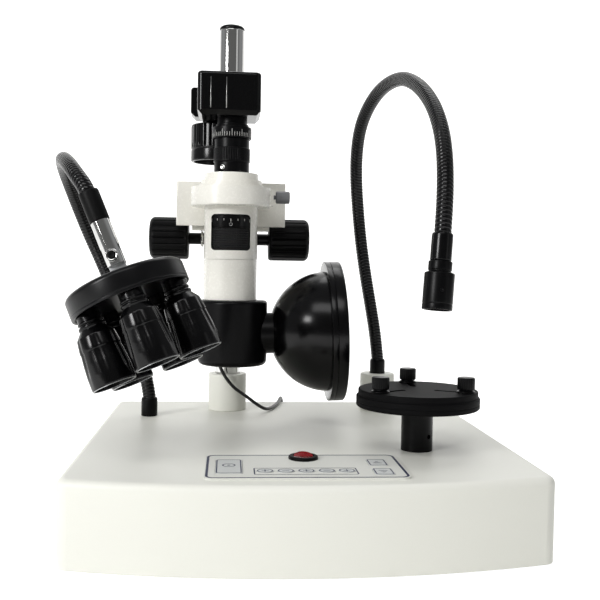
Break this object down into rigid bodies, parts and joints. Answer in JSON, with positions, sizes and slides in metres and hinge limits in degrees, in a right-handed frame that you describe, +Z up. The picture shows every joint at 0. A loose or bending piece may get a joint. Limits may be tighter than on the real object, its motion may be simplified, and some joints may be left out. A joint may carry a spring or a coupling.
{
  "type": "stereo microscope",
  "caption": "Zoom video microscope on a pillar over a wide lit base, with a side-looking dome light, a turntable with clamps and two gooseneck lamps.",
  "frame": {"origin": "on the standing surface, under the centre of the base housing", "axes": "+X to the operator's right, +Y to the back, +Z up"},
  "size_m": [0.3973, 0.3915, 0.4643],
  "materials": {
    "base_coat": "satin",
    "enamel": "gloss",
    "black_plastic": "gloss",
    "black_metal": "satin black anodised",
    "black_knob": "matte",
    "grey_knob": "matte",
    "chrome": "polished",
    "steel": "brushed",
    "brass": "satin",
    "rubber": "matte",
    "panel": "gloss",
    "key": "matte",
    "board": "matte",
    "red_lens": "gloss",
    "glass": "polished",
    "mirror": "polished",
    "lead_jacket": "matte",
    "diffuser": "matte"
  },
  "bodies": {
    "base": {"base_shell": "base_coat", "base_plate": "steel", "rubber_feet": "rubber", "base_screws": "steel", "control_panel": "panel", "key_board": "board", "power_supply": "steel", "rear_sockets": "black_plastic", "rocker_bezel": "black_plastic", "pillar_socket": "base_coat", "pillar": "chrome", "pillar_cap": "black_plastic", "spot_collar": "base_coat", "table_post": "black_metal", "lead": "lead_jacket"},
    "rocker": {"rocker": "red_lens"},
    "arm_bush": {"arm_bush": "black_plastic"},
    "arm": {"arm_clamp": "enamel"},
    "arm_knob": {"arm_knob": "black_knob"},
    "focus_drive": {"pinion_shaft": "steel", "focus_knobs": "black_knob"},
    "carriage": {"carriage": "enamel", "focus_rack": "brass", "scope_ring": "enamel"},
    "ring_screw": {"ring_screw": "grey_knob"},
    "scope": {"zoom_tube": "enamel", "nose_barrel": "enamel", "objective_lens": "glass", "mirror_housing": "black_metal", "mirror": "mirror", "dome": "black_plastic", "dome_rim": "black_plastic", "dome_leds": "diffuser", "camera_adapter": "black_metal", "camera": "black_plastic", "second_camera": "black_plastic", "second_lens": "black_knob"},
    "zoom_ring": {"zoom_ring": "black_metal"},
    "focus_ring": {"focus_ring": "black_metal"},
    "spot_neck": {"spot_neck": "black_metal"},
    "spot_head": {"spot_head": "black_metal", "spot_lens": "glass"},
    "cluster_neck": {"cluster_neck": "black_metal"},
    "fork": {"knuckle_fork": "chrome"},
    "cluster": {"cluster_drum": "black_metal", "lamps": "black_metal", "lamp_lenses": "glass"},
    "table": {"table_ring": "black_metal", "table_plate": "black_metal"},
    "mode_key": {"mode_key": "key"},
    "up_key": {"up_key": "key"},
    "down_key": {"down_key": "key"},
    "oval_key_1": {"oval_key_1": "key"},
    "oval_key_2": {"oval_key_2": "key"},
    "oval_key_3": {"oval_key_3": "key"},
    "oval_key_4": {"oval_key_4": "key"},
    "oval_key_5": {"oval_key_5": "key"},
    "clamp_1": {"clamp_1": "black_metal"},
    "clamp_2": {"clamp_2": "black_metal"},
    "clamp_3": {"clamp_3": "black_metal"}
  },
  "joints": [
    {"name": "rocker_tilt", "type": "hinge", "parent": "base", "child": "rocker", "pos_m": [-0.0019, -0.117, 0.067], "axis": [1, 0, 0], "range_deg": [-16, 0]},
    {"name": "mode_key_press", "type": "slide", "parent": "base", "child": "mode_key", "axis": [0, 0, -1], "range_m": [0, 0.0005], "stiffness_N_per_m": 400},
    {"name": "up_key_press", "type": "slide", "parent": "base", "child": "up_key", "axis": [0, 0, -1], "range_m": [0, 0.0005], "stiffness_N_per_m": 400},
    {"name": "down_key_press", "type": "slide", "parent": "base", "child": "down_key", "axis": [0, 0, -1], "range_m": [0, 0.0005], "stiffness_N_per_m": 400},
    {"name": "oval_key_1_press", "type": "slide", "parent": "base", "child": "oval_key_1", "axis": [0, 0, -1], "range_m": [0, 0.0005], "stiffness_N_per_m": 400},
    {"name": "oval_key_2_press", "type": "slide", "parent": "base", "child": "oval_key_2", "axis": [0, 0, -1], "range_m": [0, 0.0005], "stiffness_N_per_m": 400},
    {"name": "oval_key_3_press", "type": "slide", "parent": "base", "child": "oval_key_3", "axis": [0, 0, -1], "range_m": [0, 0.0005], "stiffness_N_per_m": 400},
    {"name": "oval_key_4_press", "type": "slide", "parent": "base", "child": "oval_key_4", "axis": [0, 0, -1], "range_m": [0, 0.0005], "stiffness_N_per_m": 400},
    {"name": "oval_key_5_press", "type": "slide", "parent": "base", "child": "oval_key_5", "axis": [0, 0, -1], "range_m": [0, 0.0005], "stiffness_N_per_m": 400},
    {"name": "arm_slide", "type": "slide", "parent": "base", "child": "arm_bush", "axis": [0, 0, 1], "range_m": [0, 0.12]},
    {"name": "arm_swivel", "type": "hinge", "parent": "arm_bush", "child": "arm", "pos_m": [-0.0612, 0.122, 0.257], "axis": [0, 0, 1], "range_deg": [-8, 8]},
    {"name": "arm_knob_turn", "type": "hinge", "parent": "arm", "child": "arm_knob", "pos_m": [-0.0612, 0.147, 0.275], "axis": [0, 1, 0], "range_deg": [-180, 180]},
    {"name": "focus_turn", "type": "hinge", "parent": "arm", "child": "focus_drive", "pos_m": [-0.06, 0.098, 0.2443], "axis": [-1, 0, 0], "range_deg": [-215, 239]},
    {"name": "focus_slide", "type": "slide", "parent": "arm", "child": "carriage", "axis": [0, 0, 1], "range_m": [-0.018, 0.02]},
    {"name": "ring_screw_turn", "type": "hinge", "parent": "carriage", "child": "ring_screw", "pos_m": [-0.018, 0.037, 0.2825], "axis": [1, 0, 0], "range_deg": [-180, 180]},
    {"name": "scope_turn", "type": "hinge", "parent": "carriage", "child": "scope", "pos_m": [-0.06, 0.037, 0.283], "axis": [0, 0, 1], "range_deg": [-26, 8]},
    {"name": "zoom_turn", "type": "hinge", "parent": "scope", "child": "zoom_ring", "pos_m": [-0.06, 0.037, 0.249], "axis": [0, 0, 1], "range_deg": [-70, 70]},
    {"name": "focus_ring_turn", "type": "hinge", "parent": "scope", "child": "focus_ring", "pos_m": [-0.06, 0.037, 0.344], "axis": [0, 0, 1], "range_deg": [-40, 40]},
    {"name": "spot_swivel", "type": "hinge", "parent": "base", "child": "spot_neck", "pos_m": [0.098, 0.125, 0.086], "axis": [0, 0, 1], "range_deg": [-25, 25]},
    {"name": "spot_head_turn", "type": "hinge", "parent": "spot_neck", "child": "spot_head", "pos_m": [0.0952, -0.1512, 0.241], "axis": [-0.0834, -0.1146, -0.9899], "range_deg": [-175, 175]},
    {"name": "cluster_swivel", "type": "hinge", "parent": "base", "child": "cluster_neck", "pos_m": [-0.138, 0.08, 0.0675], "axis": [0, 0, 1], "range_deg": [-20, 20]},
    {"name": "cluster_turn", "type": "hinge", "parent": "cluster_neck", "child": "fork", "pos_m": [-0.1598, -0.10633, 0.24886], "axis": [0.3876, -0.1788, -0.9043], "range_deg": [-170, 170]},
    {"name": "cluster_tilt", "type": "hinge", "parent": "fork", "child": "cluster", "pos_m": [-0.14856, -0.11151, 0.22263], "axis": [-0.0704, -0.9839, 0.1643], "range_deg": [-30, 30]},
    {"name": "table_spin", "type": "hinge", "parent": "base", "child": "table", "pos_m": [0.096, -0.078, 0.101], "axis": [0, 0, 1], "continuous": true},
    {"name": "clamp_1_slide", "type": "slide", "parent": "table", "child": "clamp_1", "axis": [0, -1, 0], "range_m": [0, 0.024]},
    {"name": "clamp_2_slide", "type": "slide", "parent": "table", "child": "clamp_2", "axis": [0.866, 0.5, 0], "range_m": [0, 0.024]},
    {"name": "clamp_3_slide", "type": "slide", "parent": "table", "child": "clamp_3", "axis": [-0.866, 0.5, 0], "range_m": [0, 0.024]}
  ],
  "couplings": [
    {"joint": "focus_turn", "follows": "focus_slide", "rad_per_m": 208.33}
  ]
}
